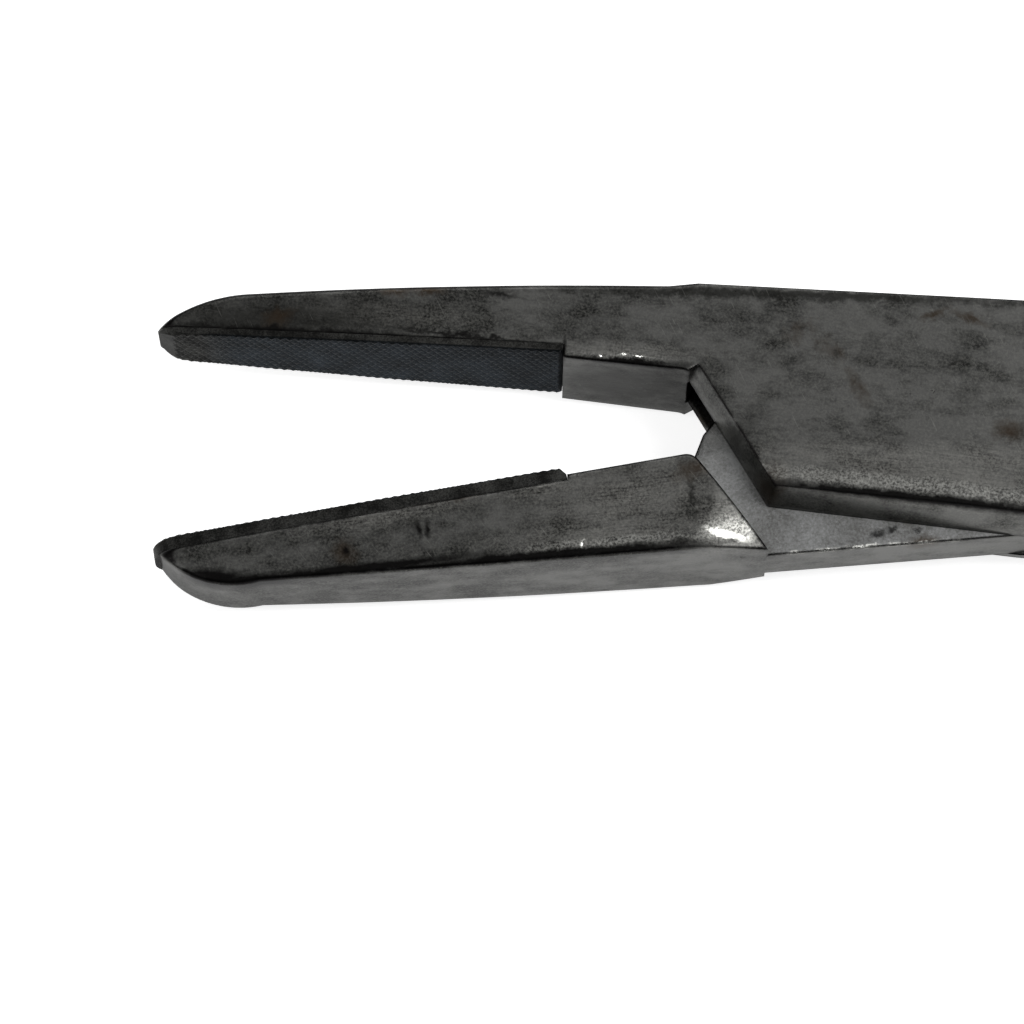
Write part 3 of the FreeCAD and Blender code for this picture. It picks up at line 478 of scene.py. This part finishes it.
THROUGH_PLACES = {
    "matt": [
        (6.5, -2.0, 3.55, 8.5, 4.0, 0.5, 0),
        (6.5, -2.0, 1.45, 8.5, 4.0, 0.5, 0),
    ],
    "haze_and_sheen": [
        # The first two rows and the last are painted sheen near the jaw's root and round the shoulder
        # facet.
        (16.6, -2.4, 4.5, 3.2, 0.5, 0.5, -5),
        (15.4, -1.2, 4.6, 2.6, 1.0, 0.4, 0),
        (24.5, -0.2, 4.2, 2.4, 0.3, 0.5, 0),
        (18.5, -0.2, 4.4, 1.4, 0.35, 0.5, 0),
        (12.6, -2.6, 4.4, 0.9, 0.9, 0.6, 0),
    ],
    "shade": [
        # Painted shade along the edge of the shoulder.
        (13.3, -1.6, 4.6, 0.12, 0.8, 0.4, 0),
    ],
    "stains": [
        (26.36, -1.31, 4.2, 0.35, 0.42, 0.5, 0),
        (22.0, 0.25, 4.3, 1.2, 0.25, 0.5, 0),
        (13.0, -0.4, 4.6, 0.7, 0.3, 0.5, 20),
        (5.0, -4.3, 3.5, 0.5, 0.2, 0.5, 0),
    ],
    "grime_and_seam_shade": [
        (6.6, -3.7, 3.6, 0.3, 0.16, 0.3, 0),
        (6.1, -3.6, 3.6, 0.22, 0.12, 0.3, 0),
        (5.1, -3.8, 3.6, 0.18, 0.1, 0.3, 0),
    ],
    "rims": [
        # Painted shade: black lines along the jaw's outer top edge.
        (31.4, -1.32, 3.8, 1.6, 0.3, 0.7, -14),
        (29.9, -1.72, 3.9, 1.6, 0.24, 0.6, -6),
        (25.9, -2.05, 4.2, 5.6, 0.2, 0.5, -4),
        (18.2, -2.88, 4.5, 6.6, 0.18, 0.5, -5.6),
    ],
    "pits": [
        (26.3, -1.3, 4.2, 0.14, 0.18, 0.4, 0),
        (23.54, -0.95, 4.3, 0.1, 0.3, 0.4, 8),
        (23.2, -1.0, 4.3, 0.1, 0.3, 0.4, -5),
    ],
    "scuffs_and_glints": [
        # Worn specks with painted glints along the jaw's outer edge and on the shoulder facet.
        (16.5, -2.72, 4.5, 2.8, 0.14, 0.5, -5),
        (12.4, -2.95, 4.4, 0.9, 0.4, 0.6, 0),
    ],
    "polish_and_highlight": [
        # A nick, the painted highlight on the shoulder facet, and a row of painted highlights along the
        # waist's outer edge.
        (17.64, -2.6, 4.6, 0.17, 0.06, 0.2, 60),
        (12.4, -3.12, 4.3, 0.8, 0.15, 0.6, -22),
        (9.8, -3.93, 3.55, 0.5, 0.08, 0.17, -5),
        (8.7, -4.02, 3.55, 0.6, 0.08, 0.17, -5),
        (7.3, -4.12, 3.55, 0.65, 0.08, 0.17, -5),
        (5.9, -4.25, 3.55, 0.5, 0.08, 0.17, -5),
        (4.9, -4.38, 3.55, 0.4, 0.08, 0.17, -5),
        (3.9, -4.48, 3.55, 0.3, 0.08, 0.17, -5),
    ],
    "no_edge_shade": [
        (12.6, -2.5, 4.3, 1.8, 1.5, 0.9, 0),
    ],
}

box_steel = ground_steel("ground_stainless_box_half", HALF_OPENING, BOX_PLACES)
through_steel = ground_steel("ground_stainless_through_half", -HALF_OPENING, THROUGH_PLACES)

# %% [markdown]
# The inserts are sintered tungsten carbide, a hard blue-grey ceramic-metal that is ground and
# left matt. Its teeth are cut crossways and are real geometry in the model, so the finish is
# only a dark metal with fine grain. A brown-grey film covers its upper and lower faces and its
# tip, where no needle rubs it off.

# %% Tungsten carbide
CARBIDE_DARK = "1D2022"
CARBIDE_LIGHT = "3C434A"
SOILED_DARK = "1E1E1D"
SOILED_LIGHT = "494947"
CARBIDE_GRAIN_MM = 0.06
CARBIDE_ROUGHNESS = 0.5
CARBIDE_CLOUDS = {"Scale": 0.9, "Detail": 4.0, "Roughness": 0.6}
CARBIDE_LEVELS = (0.12, 0.42)
FILM_LEVELS = (0.18, 0.36)
FILM_FACE = (0.6, 0.9)
FILM_FROM_MM = 30.2
FILM_FULL_MM = 31.6


def carbide(name, turn):
    """Sintered carbide: dark and matt, with fine grains, clouds of a millimetre and a film."""
    made, tree, shader = new_material(name)
    mm = half_coordinates(tree, turn)
    sized = {"Vector": mm, "Scale": 1 / CARBIDE_GRAIN_MM, "Detail": 2.0, "Roughness": 0.7}
    grain = node(tree, "TexNoise", sized).outputs["Fac"]
    cloud = node(tree, "TexNoise", {"Vector": mm, **CARBIDE_CLOUDS}).outputs["Fac"]
    both = node(tree, "Math", {0: grain, 1: cloud}, operation="MULTIPLY").outputs[0]
    height = node(tree, "SeparateXYZ", {0: node(tree, "NewGeometry").outputs["Normal"]}).outputs[2]
    lean = node(tree, "Math", {0: height}, operation="ABSOLUTE").outputs[0]
    behind = node(tree, "SeparateXYZ", {0: mm}).outputs[0]
    on_faces = gated(tree, 1.0, [(lean, *FILM_FACE)])
    on_tip = gated(tree, 1.0, [(behind, -FILM_FROM_MM, -FILM_FULL_MM)])
    light = gated(tree, 1.0, [(both, *CARBIDE_LEVELS)])
    light_film = gated(tree, 1.0, [(both, *FILM_LEVELS)])
    film = coated(tree, linear(SOILED_DARK), [(light_film, linear(SOILED_LIGHT))])
    bare = coated(tree, linear(CARBIDE_DARK), [(light, linear(CARBIDE_LIGHT))])
    colour = coated(tree, bare, [(strongest(tree, [on_faces, on_tip]), film)])
    tree.links.new(colour, shader.inputs["Base Color"])
    shader.inputs["Metallic"].default_value = 1.0
    shader.inputs["Roughness"].default_value = CARBIDE_ROUGHNESS
    print(name, "has", len(tree.nodes), "nodes")
    return made


FINISHES = {
    "box_half": box_steel,
    "joint_pin": box_steel,
    "through_half": through_steel,
    "box_half_insert": carbide("sintered_carbide_box_half", HALF_OPENING),
    "through_half_insert": carbide("sintered_carbide_through_half", -HALF_OPENING),
}
for name, finish in FINISHES.items():
    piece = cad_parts[name]
    piece.data.materials.clear()
    piece.data.materials.append(finish)
    print(name, "wears", finish.name)

# %% [markdown]
# The holder lies on a white table. More lamps would turn a floor white but would bleach the
# steel too. So the floor is pale paint that gives off a little light of its own, which only some
# rays see: the camera sees it as full white around the holder's soft shadow. What the camera
# sees is cut off at full white, but what the steel mirrors is not, so mirror rays see less of
# that light.

# %% Floor
FLOOR_REACH = 4.0
FLOOR_GREY = 0.8
FLOOR_LIFT = 0.78
FLOOR_MIRROR_LIFT = 0.2
FLOOR_BELOW_MM = 0.02


def floor_material():
    """White paint, lifted for camera rays and, by less, for glossy and transmission rays."""
    made, tree, shader = new_material("white_table")
    shader.inputs["Base Color"].default_value = (FLOOR_GREY,) * 3 + (1,)
    shader.inputs["Roughness"].default_value = 0.9
    rays = node(tree, "LightPath").outputs
    mirrored = strongest(tree, [rays["Is Glossy Ray"], rays["Is Transmission Ray"]])
    lifts = {0: mirrored, 2: FLOOR_LIFT, 3: FLOOR_MIRROR_LIFT}
    lift = node(tree, "Mix", lifts, data_type="FLOAT").outputs[0]
    seen = strongest(tree, [rays["Is Camera Ray"], mirrored])
    lift = node(tree, "Math", {0: seen, 1: lift}, operation="MULTIPLY").outputs[0]
    shader.inputs["Emission Color"].default_value = (1, 1, 1, 1)
    tree.links.new(lift, shader.inputs["Emission Strength"])
    return made


outline = np.array([(-1, -1, 0), (1, -1, 0), (1, 1, 0), (-1, 1, 0)]) * FLOOR_REACH
outline[:, 2] = -FLOOR_BELOW_MM * MM
mesh = bpy.data.meshes.new("table_top")
mesh.from_pydata(outline.tolist(), [], [range(len(outline))])
floor = bpy.data.objects.new("table_top", mesh)
bpy.context.scene.collection.objects.link(floor)
mesh.materials.append(floor_material())
print("table top of", 2 * FLOOR_REACH, "m")

# %% [markdown]
# Brushed steel shows what it mirrors. The tops of the halves mirror the part of the room
# beyond the holder, which is dim, and the outer sides mirror the white table. The strongest
# soft box stands to the right, where the rubbed spots catch it, a weak one stands to the left
# and another beyond the holder. Each row is a name, a direction from the pin, a distance, a
# width, a height and the brightness wanted, from which its power follows. The room is dark near
# the horizon and paler overhead, and the camera sees it as white.

# %% Light
SOFT_BOXES = [
    ("right_box", (0.62, -0.02, 0.78), 1.0, 0.45, 0.6, 7.0),
    ("left_box", (-0.8, -0.1, 0.6), 1.1, 0.6, 0.6, 2.0),
    ("rear_box", (0.1, 1.0, 0.55), 1.1, 0.9, 0.5, 2.0),
]
for name, towards, distance, width, height, brightness in SOFT_BOXES:
    lamp = bpy.data.lights.new(name, "AREA")
    lamp.shape = "RECTANGLE"
    lamp.size = width
    lamp.size_y = height
    lamp.energy = brightness * math.pi * width * height
    stand = bpy.data.objects.new(name, lamp)
    bpy.context.scene.collection.objects.link(stand)
    direction = Vector(towards).normalized()
    stand.location = direction * distance
    stand.rotation_mode = "QUATERNION"
    stand.rotation_quaternion = direction.to_track_quat("Z", "Y")

WHITE = (1, 1, 1, 1)
DARK_BELOW = 0.35
PALE_ABOVE = 0.9
ROOM_DARK = 0.03
ROOM_PALE = 0.34
world = bpy.data.worlds.new("room")
bpy.context.scene.world = world
world.use_nodes = True
sky = world.node_tree
sky.nodes.clear()
overhead = node(sky, "TexCoord").outputs["Generated"]
level = node(sky, "SeparateXYZ", {0: overhead}).outputs[2]
rising = {0: level, "From Min": DARK_BELOW, "From Max": PALE_ABOVE}
upward = node(sky, "MapRange", {**rising, "To Min": ROOM_DARK, "To Max": ROOM_PALE}).outputs[0]
seen = node(sky, "LightPath").outputs["Is Camera Ray"]
room = node(sky, "Background", {0: WHITE, "Strength": upward}).outputs[0]
white = node(sky, "Background", {0: WHITE, "Strength": 1.0}).outputs[0]
shown = node(sky, "MixShader", {0: seen, 1: room, 2: white})
node(sky, "OutputWorld", {"Surface": shown.outputs[0]})
print(len(SOFT_BOXES), "soft boxes and a room of", len(sky.nodes), "nodes")
